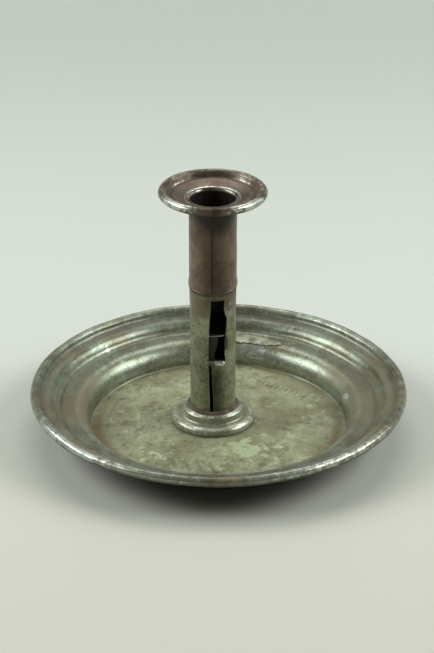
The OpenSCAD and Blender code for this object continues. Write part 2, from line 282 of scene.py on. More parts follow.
def closed_sheet(top, low, wrap_u=False):
    """A sheet between two grids of points, with rounded rims: each open edge gets a middle row
    pushed out by a third of the thickness."""
    nu, nv = top.shape[:2]
    verts = [top.reshape(-1, 3), low.reshape(-1, 3)]
    n = nu * nv
    faces = quads(nu, nv, wrap_u, False)
    faces += [f[::-1] for f in quads(nu, nv, wrap_u, False, n)]
    mid = (top + low) / 2

    def rim(ids, pts, inner, loop):
        out = pts - inner
        out /= np.maximum(np.linalg.norm(out, axis=1), 1e-9)[:, None]
        thick = np.linalg.norm((top - low).reshape(-1, 3)[ids], axis=1)[:, None]
        k0 = sum(len(v) for v in verts)
        verts.append(pts + out * thick * 0.3)
        m = len(ids)
        for i in range(m if loop else m - 1):
            j = (i + 1) % m
            faces.append([int(ids[i]), k0 + i, k0 + j, int(ids[j])])
            faces.append([k0 + i, int(ids[i]) + n, int(ids[j]) + n, k0 + j])
        return k0

    ij = np.arange(n).reshape(nu, nv)
    if wrap_u:
        rim(ij[::-1, 0], mid[::-1, 0], mid[::-1, 1], True)
        rim(ij[:, -1], mid[:, -1], mid[:, -2], True)
    else:
        ring = np.r_[ij[0, :], ij[1:, -1], ij[-1, -2::-1], ij[-2:0:-1, 0]]
        pts = np.vstack([mid[0, :], mid[1:, -1], mid[-1, -2::-1], mid[-2:0:-1, 0]])
        inn = mid.copy()
        inn[0], inn[-1] = mid[1], mid[-2]
        inn[1:-1, 0], inn[1:-1, -1] = mid[1:-1, 1], mid[1:-1, -2]
        inn[0, 0], inn[0, -1], inn[-1, 0], inn[-1, -1] = mid[1, 1], mid[1, -2], mid[-2, 1], mid[-2, -2]
        inner = np.vstack([inn[0, :], inn[1:, -1], inn[-1, -2::-1], inn[-2:0:-1, 0]])
        rim(ring[::-1], pts[::-1], inner[::-1], True)
    return np.vstack(verts), faces


def rolled_tube(rows, t, right, left, lap=0.0, columns=150, inner_rows=None):
    """A tube rolled from a flat sheet: rows are (z, outside radius) upwards; at each row the sheet
    runs from angle right, round the back, to angle left, both in degrees from the front. The end
    at left rises by lap over its last 40 degrees, where it lies over the other end."""
    z, r = np.asarray(rows, float).T
    u = np.linspace(0, 1, columns)
    a0, a1 = np.asarray(right, float)[:, None], 360 + np.asarray(left, float)[:, None]
    side = 75.0
    ang = np.where(u < 0.25, a0 + (side - a0) * (u / 0.25),
                   np.where(u < 0.75, side + (360 - 2 * side) * (u - 0.25) / 0.5,
                            360 - side + (a1 - 360 + side) * (u - 0.75) / 0.25))
    rise = lap * ease(ang, a1 - 40, a1)
    s, c = np.sin(np.radians(ang)), -np.cos(np.radians(ang))

    def wall(rad):
        return np.stack([STEM[0] + s * rad, STEM[1] + c * rad,
                         np.broadcast_to(z[:, None], ang.shape)], -1)

    rad = r[:, None] + rise
    inside = (r - t if inner_rows is None else np.asarray(inner_rows, float))[:, None] + rise
    outer, inner = wall(rad), wall(inside)
    return outer.transpose(1, 0, 2), inner.transpose(1, 0, 2), ang.T, np.broadcast_to(z, ang.T.shape)


# Node helpers
class Net:
    """Adds nodes to a node tree in short calls; every call gives back an output socket."""

    def __init__(self, tree):
        self.tree, self.count = tree, 0

    def add(self, kind, out=0, **given):
        node = self.tree.nodes.new(kind)
        node.location = (180 * (self.count % 12), -260 * (self.count // 12))
        self.count += 1
        for key, value in given.items():
            if key.startswith("p_"):
                setattr(node, key[2:], value)
        for key, value in given.items():
            if key.startswith("p_"):
                continue
            socket = node.inputs[int(key[1:])] if key[0] == "i" and key[1:].isdigit() else node.inputs[
                key.replace("_", " ")]
            self.feed(socket, value)
        return node.outputs[out] if out is not None else node

    def feed(self, socket, value):
        if isinstance(value, bpy.types.NodeSocket):
            self.tree.links.new(value, socket)
        elif value is not None:
            socket.default_value = value

    def math(self, op, a, b=None, c=None, clamp=False):
        return self.add("ShaderNodeMath", p_operation=op, p_use_clamp=clamp, i0=a, i1=b, i2=c)

    def noise(self, vector, scale, detail=4.0, rough=0.55, w=None, warp=0.0):
        extra = dict(p_noise_dimensions="4D", W=w) if w is not None else {}
        return self.add("ShaderNodeTexNoise", Vector=vector, Scale=scale, Detail=detail,
                        Roughness=rough, Distortion=warp, **extra)

    def band(self, value, lo, hi, to0=0.0, to1=1.0):
        """Smooth step of a value from lo to hi, mapped to to0..to1."""
        node = self.add("ShaderNodeMapRange", None, p_interpolation_type="SMOOTHSTEP",
                        i0=value, i1=lo, i2=hi, i3=to0, i4=to1)
        return node.outputs[0]

    def mix(self, fac, a, b, blend="MIX"):
        node = self.add("ShaderNodeMix", None, p_data_type="RGBA", p_blend_type=blend)
        self.feed(node.inputs[0], fac)
        self.feed(node.inputs[6], a)
        self.feed(node.inputs[7], b)
        return node.outputs[2]

    def fmix(self, fac, a, b):
        node = self.add("ShaderNodeMix", None, p_data_type="FLOAT")
        self.feed(node.inputs[0], fac)
        self.feed(node.inputs[2], a)
        self.feed(node.inputs[3], b)
        return node.outputs[0]

    def scaled(self, vector, x, y, z):
        return self.add("ShaderNodeVectorMath", p_operation="MULTIPLY", i0=vector, i1=(x, y, z))


def new_group(name, inputs, outputs):
    """A shader node group with named inputs (name, kind, default) and outputs (name, kind)."""
    tree = bpy.data.node_groups.new(name, "ShaderNodeTree")
    kinds = {"f": "NodeSocketFloat", "c": "NodeSocketColor", "v": "NodeSocketVector"}
    for label, kind, default in inputs:
        socket = tree.interface.new_socket(label, in_out="INPUT", socket_type=kinds[kind])
        if default is not None:
            socket.default_value = default
    for label, kind in outputs:
        tree.interface.new_socket(label, in_out="OUTPUT", socket_type=kinds[kind])
    net = Net(tree)
    source = net.add("NodeGroupInput", None)
    sink = net.add("NodeGroupOutput", None)
    return tree, net, source.outputs, sink.inputs


def rgb(r, g, b):
    """Linear colour from the 0-255 numbers of a screen colour."""
    c = np.array([r, g, b]) / 255
    lin = np.where(c <= 0.04045, c / 12.92, ((c + 0.055) / 1.055) ** 2.4)
    return (*[float(v) for v in lin], 1.0)


def around_group():
    """Coordinates that follow a turned piece: (cos a, sin a) times a width and the distance from
    the axis, so that noise read with them runs in rings or in spokes without a seam."""
    tree, n, src, out = new_group(
        "around", [("Vector", "v", None), ("Axis X", "f", 0.0), ("Axis Y", "f", 0.0),
                   ("Round", "f", 20.0), ("Across", "f", 1.0)], [("Vector", "v")])
    split = n.add("ShaderNodeSeparateXYZ", None, Vector=src["Vector"])
    x = n.math("SUBTRACT", n.math("MULTIPLY", split.outputs[0], 1000.0), src["Axis X"])
    y = n.math("SUBTRACT", n.math("MULTIPLY", split.outputs[1], 1000.0), src["Axis Y"])
    z = n.math("MULTIPLY", split.outputs[2], 1000.0)
    r = n.math("SQRT", n.math("ADD", n.math("MULTIPLY", x, x), n.math("MULTIPLY", y, y)))
    safe = n.math("MAXIMUM", r, 0.5)
    rz = n.math("ADD", n.math("MULTIPLY", r, src["Across"]), n.math("MULTIPLY", z, src["Across"]))
    joined = n.add("ShaderNodeCombineXYZ", X=n.math("MULTIPLY", n.math("DIVIDE", x, safe), src["Round"]),
                   Y=n.math("MULTIPLY", n.math("DIVIDE", y, safe), src["Round"]), Z=rz)
    n.feed(out["Vector"], joined)
    return tree


def aged_tin_group():
    """Old tinned iron. Two tones of dull tin in blotches, pale and dark mottling with firm edges,
    streaks that follow the ring vector, then brown stain with painted shade, bare bright metal with
    painted highlights, dark pits, and dirt with painted shade, each broken up by noise where its mask is high."""
    tree, n, src, out = new_group(
        "aged_tin",
        [("Vector", "v", None), ("Ring", "v", None), ("Tin", "c", rgb(150, 155, 130)),
         ("Dull", "c", rgb(110, 110, 88)), ("Pale", "c", rgb(170, 178, 150)), ("Stain", "c", rgb(92, 66, 50)),
         ("Bare", "c", rgb(215, 215, 205)), ("Blotch", "f", 0.08), ("Mottle", "f", 0.5), ("Streak", "f", 0.4),
         ("Pit", "f", 0.5), ("Wear_and_highlight", "f", 0.0), ("Rust_and_shade", "f", 0.0), ("Grime_and_shade", "f", 0.0),
         ("Polish", "f", 0.4), ("Metal", "f", 0.8)],
        [("Color", "c"), ("Metallic", "f"), ("Roughness", "f"), ("Height", "f")])
    p = n.scaled(src["Vector"], 1000, 1000, 1000)
    big = n.noise(p, src["Blotch"], 5, 0.6, w=1.3)
    mid = n.noise(p, n.math("MULTIPLY", src["Blotch"], 3.6), 7, 0.68, w=4.1)
    low = n.noise(p, n.math("MULTIPLY", src["Blotch"], 5.1), 6, 0.7, w=9.4)
    fine = n.noise(p, 1.1, 3, 0.65, w=7.7)
    streak = n.noise(src["Ring"], 1.0, 5, 0.6, w=3.3)
    colour = n.mix(n.band(big, 0.38, 0.62), src["Dull"], src["Tin"])
    colour = n.mix(n.math("MULTIPLY", n.band(mid, 0.54, 0.63), src["Mottle"]), colour, src["Pale"])
    shade = n.math("MULTIPLY", n.band(low, 0.51, 0.62), n.math("MULTIPLY", src["Mottle"], 0.7))
    shade = n.math("ADD", shade, n.math("MULTIPLY", n.band(streak, 0.6, 0.72), n.math(
        "MULTIPLY", src["Streak"], 0.5)))
    light = n.math("MULTIPLY", n.band(streak, 0.42, 0.32), n.math("MULTIPLY", src["Streak"], 0.4))
    colour = n.mix(light, colour, src["Pale"])
    colour = n.mix(shade, colour, n.mix(0.55, src["Dull"], rgb(40, 36, 26)))
    colour = n.mix(0.8, colour, n.mix(n.band(fine, 0.3, 0.7), rgb(196, 196, 196), rgb(255, 255, 255)),
                   "MULTIPLY")
    swing = n.math("MULTIPLY", n.math("SUBTRACT", mid, 0.5), 1.6)
    # Brown stain colour: rust, and painted shade where a piece marks it.
    stain_and_shade = n.math("MULTIPLY", n.band(n.math("ADD", src["Rust_and_shade"], swing), 0.25, 0.8),
                   n.band(src["Rust_and_shade"], 0.02, 0.3))
    colour = n.mix(n.math("MULTIPLY", stain_and_shade, 0.85), colour, src["Stain"])
    pits = n.math("MULTIPLY", n.band(fine, 0.62, 0.7), src["Pit"])
    ragged = n.math("MULTIPLY", n.math("SUBTRACT", low, 0.5), 2.4)
    # Bare bright colour: wear, and painted highlights where a piece marks them.
    worn_and_highlight = n.math("MULTIPLY", n.band(n.math("ADD", src["Wear_and_highlight"], ragged), 0.3, 0.62),
                  n.band(src["Wear_and_highlight"], 0.02, 0.25))
    worn_and_highlight = n.math("MULTIPLY", worn_and_highlight, n.math("SUBTRACT", 1.0, n.math("MULTIPLY", pits, 0.8)))
    colour = n.mix(worn_and_highlight, colour, src["Bare"])
    # Dark colour: dirt, and painted shade where a piece marks it.
    dark = n.math("MAXIMUM", n.math("MULTIPLY", src["Grime_and_shade"], n.band(mid, 0.2, 0.55, 0.6, 1.0)),
                  n.math("MULTIPLY", pits, 0.6))
    colour = n.mix(dark, colour, rgb(38, 33, 26))
    metal = n.math("MULTIPLY", src["Metal"], n.math("ADD", 1.0, n.math("MULTIPLY", worn_and_highlight, 0.5)))
    metal = n.math("MULTIPLY", metal, n.math("SUBTRACT", 1.0, n.math(
        "MULTIPLY", n.math("MAXIMUM", stain_and_shade, dark), 0.6)), clamp=True)
    rough = n.math("ADD", src["Polish"], n.math("MULTIPLY", n.math("SUBTRACT", fine, 0.5), 0.3))
    rough = n.math("ADD", rough, n.math("MULTIPLY", n.math("MAXIMUM", n.math("MAXIMUM", stain_and_shade, shade), dark), 0.2))
    rough = n.math("SUBTRACT", rough, n.math("MULTIPLY", worn_and_highlight, 0.06), clamp=True)
    height = n.math("ADD", n.math("MULTIPLY", mid, 0.45), n.math("MULTIPLY", fine, 0.3))
    height = n.math("ADD", height, n.math("MULTIPLY", streak, n.math("MULTIPLY", src["Streak"], 0.5)))
    height = n.math("SUBTRACT", height, n.math("MULTIPLY", pits, 0.3))
    for label, value in (("Color", colour), ("Metallic", metal), ("Roughness", rough), ("Height", height)):
        n.feed(out[label], value)
    return tree


AROUND = around_group()
AGED_TIN = aged_tin_group()


def tin_material(name, around, bump=0.12, zone=None, **values):
    """A material of aged tin with its own values. around gives the axis and the two scales of the
    streaks; wear with painted highlights, rust with painted shade, and dirt with painted shade come
    from the piece's attributes. zone names values that apply where the piece's attribute of that name is 1, such as
    ("floor", {...})."""
    mat = bpy.data.materials.new(name)
    mat.use_nodes = True
    tree = mat.node_tree
    tree.nodes.clear()
    n = Net(tree)
    vector = n.add("ShaderNodeTexCoord", 3)
    coat = n.add("ShaderNodeGroup", None, p_node_tree=AGED_TIN)
    spun = n.add("ShaderNodeGroup", None, p_node_tree=AROUND)
    n.feed(spun.inputs["Vector"], vector)
    for label, value in zip(("Axis X", "Axis Y", "Round", "Across"), around):
        n.feed(spun.inputs[label], value)
    n.feed(coat.inputs["Vector"], vector)
    n.feed(coat.inputs["Ring"], spun.outputs[0])
    other = zone[1] if zone else {}
    if "brush" in other:
        turn, along, across = other["brush"]
        brushed = n.add("ShaderNodeMapping", None, Vector=vector, Rotation=(0, 0, math.radians(-turn)),
                        Scale=(1000 * along, 1000 * across, 1000 * across))
        mask = n.add("ShaderNodeAttribute", 2, p_attribute_name=zone[0])
        joint = n.add("ShaderNodeMix", None, p_data_type="VECTOR", i0=mask, i4=spun.outputs[0],
                      i5=brushed.outputs[0])
        n.feed(coat.inputs["Ring"], joint.outputs[1])
    for key, value in values.items():
        if key in other:
            mask = n.add("ShaderNodeAttribute", 2, p_attribute_name=zone[0])
            value = (n.mix if isinstance(value, tuple) else n.fmix)(mask, value, other[key])
        n.feed(coat.inputs[key], value)
    for label in ("Wear_and_highlight", "Rust_and_shade", "Grime_and_shade"):
        n.feed(coat.inputs[label], n.add("ShaderNodeAttribute", 2, p_attribute_name=label.lower()))
    relief = n.add("ShaderNodeBump", None, Height=coat.outputs["Height"], Strength=1.0, Distance=bump * MM)
    shader = n.add("ShaderNodeBsdfPrincipled", None)
    n.feed(shader.inputs["Base Color"], coat.outputs["Color"])
    n.feed(shader.inputs["Metallic"], coat.outputs["Metallic"])
    n.feed(shader.inputs["Roughness"], coat.outputs["Roughness"])
    n.feed(shader.inputs["Normal"], relief.outputs[0])
    end = n.add("ShaderNodeOutputMaterial", None)
    tree.links.new(shader.outputs[0], end.inputs[0])
    return mat


def dress(obj, material):
    """Gives the piece its material."""
    obj.data.materials.clear()
    obj.data.materials.append(material)


PAN_RINGS, STEM_LINES = (0.0, 0.0, 5.0, 0.55), (*STEM, 4.0, 0.05)
PAN = tin_material(
    "pan_tin", PAN_RINGS, 0.12, ("floor", dict(
        Tin=rgb(164, 167, 132), Dull=rgb(138, 136, 102), Pale=rgb(188, 198, 160), Stain=rgb(124, 110, 78),
        Bare=rgb(168, 178, 140), Blotch=0.045, Mottle=0.75, Streak=0.8, Pit=0.5, Polish=0.55, Metal=0.12,
        brush=(68, 0.07, 0.4))),
    Tin=rgb(160, 169, 148), Dull=rgb(137, 134, 109), Pale=rgb(186, 199, 182), Stain=rgb(142, 133, 106),
    Bare=rgb(196, 200, 190), Blotch=0.07, Mottle=0.7, Streak=0.5, Pit=0.5, Polish=0.31, Metal=0.6)
FLANGE = tin_material(
    "flange_tin", (*STEM, 4.0, 0.8), 0.1, Tin=rgb(128, 116, 99), Dull=rgb(104, 90, 75), Pale=rgb(144, 137, 119),
    Stain=rgb(102, 76, 60), Bare=rgb(190, 192, 182), Blotch=0.12, Mottle=0.75, Streak=0.4, Pit=0.6,
    Polish=0.32, Metal=0.6)
UPPER = tin_material(
    "upper_tin", STEM_LINES, 0.08, Tin=rgb(142, 124, 107), Dull=rgb(116, 99, 82), Pale=rgb(154, 141, 124),
    Stain=rgb(94, 74, 57), Bare=rgb(160, 156, 142), Blotch=0.09, Mottle=0.3, Streak=0.5, Pit=0.2,
    Polish=0.34, Metal=0.95)
LOWER = tin_material(
    "lower_tin", STEM_LINES, 0.1, Tin=rgb(180, 184, 154), Dull=rgb(152, 153, 122), Pale=rgb(196, 202, 174),
    Stain=rgb(114, 99, 79), Bare=rgb(210, 214, 200), Blotch=0.1, Mottle=0.85, Streak=0.45, Pit=0.6,
    Polish=0.34, Metal=0.5)
COLLAR = tin_material(
    "collar_tin", (*STEM, 5.0, 0.9), 0.08, Tin=rgb(190, 195, 170), Dull=rgb(158, 158, 130), Pale=rgb(208, 214, 194),
    Stain=rgb(116, 80, 62), Bare=rgb(222, 226, 212), Blotch=0.16, Mottle=0.7, Streak=0.3, Pit=0.5,
    Polish=0.3, Metal=0.45)
SOLDER = tin_material(
    "solder", (*STEM, 4.0, 0.9), 0.15, Tin=rgb(120, 122, 100), Dull=rgb(94, 84, 66), Pale=rgb(150, 150, 130),
    Stain=rgb(94, 70, 50), Bare=rgb(190, 190, 176), Blotch=0.25, Mottle=0.5, Streak=0.2, Pit=0.5,
    Polish=0.5, Metal=0.4)
PATCH = tin_material(
    "patch_tin", PAN_RINGS, 0.15, Tin=rgb(186, 188, 162), Dull=rgb(162, 160, 134), Pale=rgb(206, 206, 184),
    Stain=rgb(116, 98, 76), Bare=rgb(210, 208, 192), Blotch=0.2, Mottle=0.5, Streak=0.5, Pit=0.5,
    Polish=0.55, Metal=0.25)
EJECTOR = tin_material(
    "ejector_tin", STEM_LINES, 0.1, Tin=rgb(112, 106, 98), Dull=rgb(84, 78, 70), Pale=rgb(140, 134, 126),
    Stain=rgb(74, 60, 46), Bare=rgb(180, 180, 170), Blotch=0.2, Mottle=0.3, Streak=0.3, Pit=0.5,
    Polish=0.45, Metal=0.5)
# Its bare colour is near white, for the painted highlight on the thumb tab's lip.
TAB = tin_material(
    "tab_tin", STEM_LINES, 0.06, Tin=rgb(170, 168, 150), Dull=rgb(110, 106, 88), Pale=rgb(200, 198, 184),
    Stain=rgb(80, 64, 48), Bare=rgb(240, 240, 230), Blotch=0.3, Mottle=0.5, Streak=0.2, Pit=0.4,
    Polish=0.3, Metal=0.6)
WIRE = tin_material(
    "iron_wire", STEM_LINES, 0.1, Tin=rgb(84, 78, 70), Dull=rgb(62, 54, 46), Pale=rgb(110, 104, 94),
    Stain=rgb(82, 52, 38), Bare=rgb(150, 146, 138), Blotch=0.3, Mottle=0.3, Streak=0.2, Pit=0.5,
    Polish=0.55, Metal=0.5)


def blank_marks(obj):
    """Marks of an ordinary piece: a little rust, no wear."""
    n = len(obj.data.vertices)
    mark(obj, "wear_and_highlight", np.zeros(n))
    mark(obj, "rust_and_shade", np.full(n, 0.15))
    mark(obj, "grime_and_shade", np.zeros(n))


# Pan
def spot(x, y, place, half, seed=0, ragged=0.35):
    """A patch about place, 1 in the middle and 0 beyond half, with a ragged edge."""
    d = np.hypot((x - place[0]) / half[0], (y - place[1]) / half[1])
    return 1 - ease(d + ragged * lumps(x, y, 7, 90 + seed), 0.45, 1.0)


def bar(x, y, start, end, half):
    """A straight mark from start to end, 0 beyond half to either side."""
    way = np.subtract(end, start)
    u = ((x - start[0]) * way[0] + (y - start[1]) * way[1]) / (way @ way)
    off = np.hypot(x - start[0] - np.clip(u, 0, 1) * way[0], y - start[1] - np.clip(u, 0, 1) * way[1])
    return hump(off, 0, half)


def make_pan():
    """The pan with its rolled rim, and its wear, stain and dirt by place, with painted highlights and painted shade
    among them.
    """
    path = pan_path()
    verts, faces = revolve(sheet_outline(path, SHEET_PAN, False), 340)
    under = under_side(verts, path, 340)
    x, y, z = verts.T
    r, az = np.hypot(x, y), np.degrees(np.arctan2(y, x))
    obj = write_mesh("pan_saucer", "stand", bend_pan(verts), faces, "pan")
    rim = ease(r, 88.0, 89.4) * ease(z, 18.4, 19.6)
    # Rim: even wear, with painted highlights at front left and front right where the side lamps glint, and less of it
    # at the front middle and the sides. Worn lines at the foot of the wall and on the tread.
    wear_and_highlight = (rim * (0.28 + 0.4 * round_hump(az, -140, 26) + 0.22 * round_hump(az, -50, 34)
                   - 0.2 * round_hump(az, -88, 14) - 0.25 * round_hump(az, 0, 38) - 0.2 * round_hump(az, 180, 34))
            + 0.35 * hump(r, 63.9, 0.5) * (z < 1.6) * (0.3 + lumps(x, y, 30, 33))
            + 0.5 * hump(r, 75.9, 0.7) * hump(z, 12.1, 1.0) * (0.7 + lumps(x, y, 30, 34)))
    brim = ease(r, 82.5, 85) * (1 - ease(r, 88.0, 89.5))
    sides = np.minimum(1, round_hump(az, 0, 75) + round_hump(az, 180, 75))
    slope = ease(r, 65, 67) * (1 - ease(r, 81, 83))
    # Rust on the brim, the slope, the rim's sides and the floor's edge; the brown at the rim's front middle is painted
    # shade.
    rust_and_shade = (0.6 * brim * (0.4 + 0.7 * sides) + 0.5 * slope * sides
            + rim * (0.45 * round_hump(az, -86, 14) + 0.5 * round_hump(az, 0, 45) + 0.3 * round_hump(az, 180, 30))
            + 0.5 * hump(r, 60.0, 6.0) * (0.45 + 0.8 * round_hump(az, 200, 55) + 0.6 * round_hump(az, -20, 50)))
    rust_and_shade += 0.1 + 0.22 * lumps(x, y, 40, 31)
    stem_r = np.hypot(x - STEM[0], y - STEM[1])
    tread = ease(r, 70.5, 72.5) * (1 - ease(r, 74.6, 75.4)) + ease(r, 76.3, 77.2) * (1 - ease(r, 79.2, 80.4))
    level = tread + (0.7 + 1.3 * round_hump(az, 90, 85)) * ease(r, 83.2, 84.8) * (1 - ease(r, 88.2, 89.0))
    low_roll = ease(r, 91.5, 92.8) * (1 - ease(z, 18.6, 20.4))
    # Painted shade: the tread, the upper cove and the brim darkened, most at the back; the rolled rim's lower outer
    # face; a ring on the floor at the collar's foot; the underside. Darker also along the foot of the wall.
    grime_and_shade = (0.3 * hump(r, 64.6, 0.6) * (z < 3) + 0.42 * level * (0.92 + 0.12 * lumps(x, y, 26, 37))
             + 0.6 * low_roll + 0.5 * hump(stem_r, 21.1, 1.1) + 0.9 * under)
    floor = 1 - ease(r, 63.6, 64.6)
    wear_and_highlight += (0.6 * floor * spot(x, y, (13, -30), (16, 12), 1) + 0.45 * floor * spot(x, y, (-33, -34), (10, 6), 2)
             + 0.9 * spot(x, y, (18.7, 62.6), (7, 3.5), 3) * (r > 64.6) + 0.8 * spot(x, y, (-57.4, 55.9), (2, 2), 4)
             + 0.8 * spot(x, y, (64.2, 14.5), (2.5, 4), 5) * (r > 64.6)
             + 0.9 * spot(x, y, (-80.6, -43.0), (5, 5), 6) * (r > 88))
    rust_and_shade += (0.35 * floor * spot(x, y, (29, 0), (13, 16), 7) + 0.35 * floor * spot(x, y, (-34, -10), (18, 11), 8)
             + 0.7 * hump(r, 63.6, 1.2) * round_hump(az, 68, 26))
    dashes = ease(np.sin(1.9 * (x - 0.6 * y)), 0.1, 0.8)
    grime_and_shade += floor * (
        0.55 * bar(x, y, (22, 43), (43, 29), 5) * dashes + 0.3 * bar(x, y, (29.6, -20.3), (19.3, -47.1), 1.6)
        + 0.45 * bar(x, y, (-36, -36), (0, -49), 6) * ease(np.sin(1.1 * (x + 0.4 * y)), 0.0, 0.8)
        + 0.3 * hump(r, 56, 1.0) * round_hump(az, 165, 40) + 0.22 * ease(lumps(x, y, 9, 39), 0.5, 1.1))
    grime_and_shade += rim * (0.12 + 0.3 * ease(lumps(x, y, 7, 38), 0.2, 0.9))
    mark(obj, "wear_and_highlight", wear_and_highlight * ~under)
    mark(obj, "rust_and_shade", rust_and_shade)
    mark(obj, "grime_and_shade", grime_and_shade)
    mark(obj, "floor", floor)
    dress(obj, PAN)
    wire = arc(RIM_R - RIM_ROLL, RIM_Z, RIM_ROLL - SHEET_PAN - 0.08, 180, -180, 24)[:-1]
    verts, faces = revolve(wire, 200)
    obj = write_mesh("rim_wire", "stand", bend_pan(verts), faces, "pan_rim_wire")
    blank_marks(obj)
    dress(obj, WIRE)


# Stem
def make_collar():
    verts, faces = revolve(sheet_outline(collar_path(), SHEET_COLLAR), 200, STEM)
    x, y, z = verts[:, 0] - STEM[0], verts[:, 1] - STEM[1], verts[:, 2]
    r, az = np.hypot(x, y), np.degrees(np.arctan2(y, x))
    q = verts.copy()
    q[:, 2] -= 0.1 * ease(r, 14, 20) * (1 - ease(r, 20.4, 20.8)) * (1 + lumps(x, y, 14, 21))
    obj = write_mesh("foot_collar", "stand", q, faces, "stem_foot_collar")
    mark(obj, "wear_and_highlight", 0.35 * hump(r, 14.2, 1.2) * (1 + lumps(x, y, 6, 22))
         + 0.5 * hump(r, 19.4, 1.4) * (1 + 0.8 * lumps(x, y, 7, 23)))
    # Rust by the tube; the brown over the front middle is painted shade.
    mark(obj, "rust_and_shade", 0.12 + 0.6 * (1 - ease(r, 12.2, 14.2)) * (0.4 + round_hump(az, -80, 60))
         + 0.35 * round_hump(az, -88, 22))
    # Painted shade in the groove between the beads, and a painted shadow along the collar's foot.
    mark(obj, "grime_and_shade", 0.4 * hump(r, 16.6, 1.0) + 0.7 * (1 - ease(z, FOOT_Z + 0.1, FOOT_Z + 0.9)))
    dress(obj, COLLAR)


def side_angle(x):
    """Angle from the front, in degrees, at which a point of the shank stands x to the right."""
    return np.degrees(np.arcsin(np.clip(np.asarray(x, float) / SHANK_R, -1, 1)))


def make_lower_tube():
    """The slotted tube: a rolled sheet whose two edges meet above the slot, part at the slot and
    stand a little open below it, with the slot's edges as roughly cut."""
    slot_lo, slot_hi, lip = 38.9, 73.9, 0.05
    z = np.r_[FOOT_Z + SHEET_TUBE + 0.35, np.arange(5, 38, 1.5), 38.5, np.linspace(slot_lo - lip, slot_lo, 6),
              np.arange(39.9, 73.5, 1.0), 73.7, np.linspace(slot_hi, slot_hi + lip, 6),
              74.5, 76, 78, 79.5, BELL_Z + BELL_H]
    r = SHANK_R + (SPREAD_R - SHANK_R) * ease(z, SPREAD_Z, BELL_Z - 2)
    cut_right = np.interp(z, [38.9, 40.5, 42, 44, 46, 49, 53, 57, 60, 63.5, 66.5, 69.5, 73.9],
                          [5.5, 6.2, 6.2, 5.85, 6.15, 5.85, 6.1, 6.6, 6.7, 6.85, 5.85, 5.35, 5.6])
    cut_left = np.interp(z, [38.9, 45, 52, 57, 62, 67, 73.9],
                         [-2.35, -2.3, -2.15, -2.05, -1.8, -1.4, -1.05])
    seam_left = np.interp(z, [3, 14, 20, 28, 34, 38.9], [-1.45, -1.55, -1.6, -1.92, -1.95, -2.2])
    seam_right = np.interp(z, [3, 14, 20, 28, 34, 38.9], [0.55, 0.38, 0.1, -0.3, -0.6, -0.9])
    in_slot = np.interp(z, [slot_lo - lip, slot_lo, slot_hi, slot_hi + lip], [0, 1, 1, 0])
    seam_right, seam_left = np.where(z > slot_hi, -0.93, seam_right), np.where(z > slot_hi, -0.99, seam_left)
    right = side_angle(seam_right + (cut_right - seam_right) * in_slot)
    left = side_angle(seam_left + (cut_left - seam_left) * in_slot)
    top, low, ang, zz = rolled_tube(np.column_stack([z, r]), SHEET_TUBE, right, left, columns=160)
    side = (ang + 180) % 360 - 180
    dent = (0.35 * hump(side, 45, 12) * hump(zz, 71.2, 2.6) - 0.12 * hump(side, 41, 14) * hump(zz, 68.2, 2.4)
            - 0.12 * hump(side, -46, 34) * hump(zz, 64.4, 1.8) + 0.07 * lumps(side * 0.2, zz, 13, 41))
    flap = 0.35 * ease(side, 18, 34) * (1 - ease(side, 34, 48)) * hump(zz, 50, 10) * (side > 0)
    push = (dent - flap)[..., None] * np.stack([np.sin(np.radians(ang)), -np.cos(np.radians(ang)), ang * 0], -1)
    keep = (1 - ease(zz, 74.5, 77.0))[..., None]
    verts, faces = closed_sheet(top + push * keep, low + push * keep)
    obj = write_mesh("slotted_tube", "stand", verts, faces, "stem_lower_tube")
    x, y, z = verts[:, 0] - STEM[0], verts[:, 1] - STEM[1], verts[:, 2]
    side = np.degrees(np.arctan2(x, -y))
    inside = np.hypot(x, y) < SHANK_R - 0.2
    low = 1 - ease(z, 34, 39)
    mark(obj, "wear_and_highlight", 0.9 * hump(side, 45, 6) * hump(z, 70.9, 1.5))
    mark(obj, "rust_and_shade", 0.2 + 0.25 * lumps(side * 0.2, z, 15, 43) + 0.7 * hump(z, 12.4, 3)
         + 0.6 * hump(side, 2, 14) * low + 0.7 * ease(z, 58, 73))
    # Painted shade: the front darkened below the slot and towards the top, a painted shadow under the bell's edge, and
    # the inside darkened.
    mark(obj, "grime_and_shade", 0.75 * hump(side, 10, 34) * (side > -6) * low + 0.6 * hump(z, 77.2, 1.2)
         + 0.4 * hump(side, 20, 76) * ease(z, 66, 73)
         + 0.6 * hump(side, 41, 10) * hump(z, 68.0, 1.4) + 0.5 * hump(side, -28, 10) * hump(z, 64.4, 0.8)
         + 0.9 * inside)
    dress(obj, LOWER)


